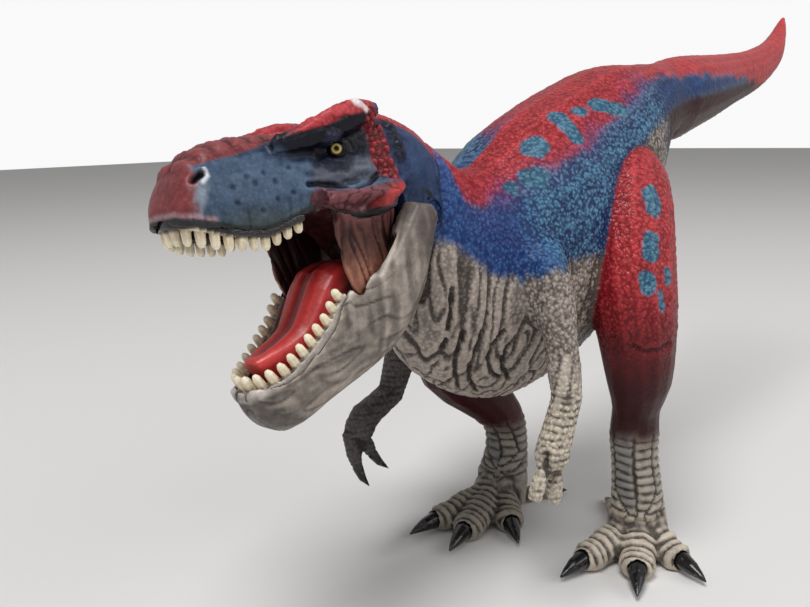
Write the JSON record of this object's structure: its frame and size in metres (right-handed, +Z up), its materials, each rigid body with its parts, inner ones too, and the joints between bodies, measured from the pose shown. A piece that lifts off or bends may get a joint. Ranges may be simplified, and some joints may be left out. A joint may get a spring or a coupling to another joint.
{
  "type": "toy dinosaur figure",
  "caption": "Striding two-legged meat-eating dinosaur in painted soft plastic, with a hinged lower jaw held wide open, small two-fingered arms and a raised tail.",
  "frame": {"origin": "centre of the bounding box, on the floor under the feet", "axes": "+Z up from the soles, -Y the way the dinosaur walks and its snout points, +X its left side"},
  "size_m": [0.0796, 0.2836, 0.1471],
  "materials": {
    "red_skin": "painted soft plastic, satin, red over deep blue flanks with teal spots",
    "blue_skin": "painted soft plastic, satin, blue-grey with red snout and brow",
    "grey_skin": "painted soft plastic, dry-brushed stone grey",
    "arm_skin": "painted soft plastic, dark grey",
    "muscle": "painted soft plastic, brown-red",
    "mouth": "dark maroon paint",
    "tongue": "glossy red paint",
    "ivory": "ivory teeth in a dark gum",
    "eye": "glossy yellow with a black pupil",
    "claw": "glossy black",
    "steel": "plain drawn wire"
  },
  "bodies": {
    "figure": {"trunk": "red_skin", "tail": "red_skin", "leg_left": "red_skin", "leg_right": "red_skin", "toe_claw_left_1": "claw", "toe_claw_left_2": "claw", "toe_claw_left_3": "claw", "toe_claw_left_4": "claw", "toe_claw_right_1": "claw", "toe_claw_right_2": "claw", "toe_claw_right_3": "claw", "toe_claw_right_4": "claw", "arm_left": "arm_skin", "arm_right": "arm_skin", "finger_claw_right_1": "claw", "finger_claw_right_2": "claw", "skull": "blue_skin", "mouth_lining": "mouth", "upper_teeth": "ivory", "eye_left": "eye", "eye_right": "eye", "cheek_left": "muscle", "cheek_right": "muscle", "jaw_pin": "steel"},
    "jaw": {"lower_jaw": "grey_skin", "lower_teeth": "ivory", "tongue": "tongue"}
  },
  "joints": [
    {"name": "jaw_close", "type": "hinge", "parent": "figure", "child": "jaw", "pos_m": [-0.00488, -0.097, 0.08844], "axis": [-0.9857, -0.0344, -0.165], "range_deg": [0, 27]}
  ]
}
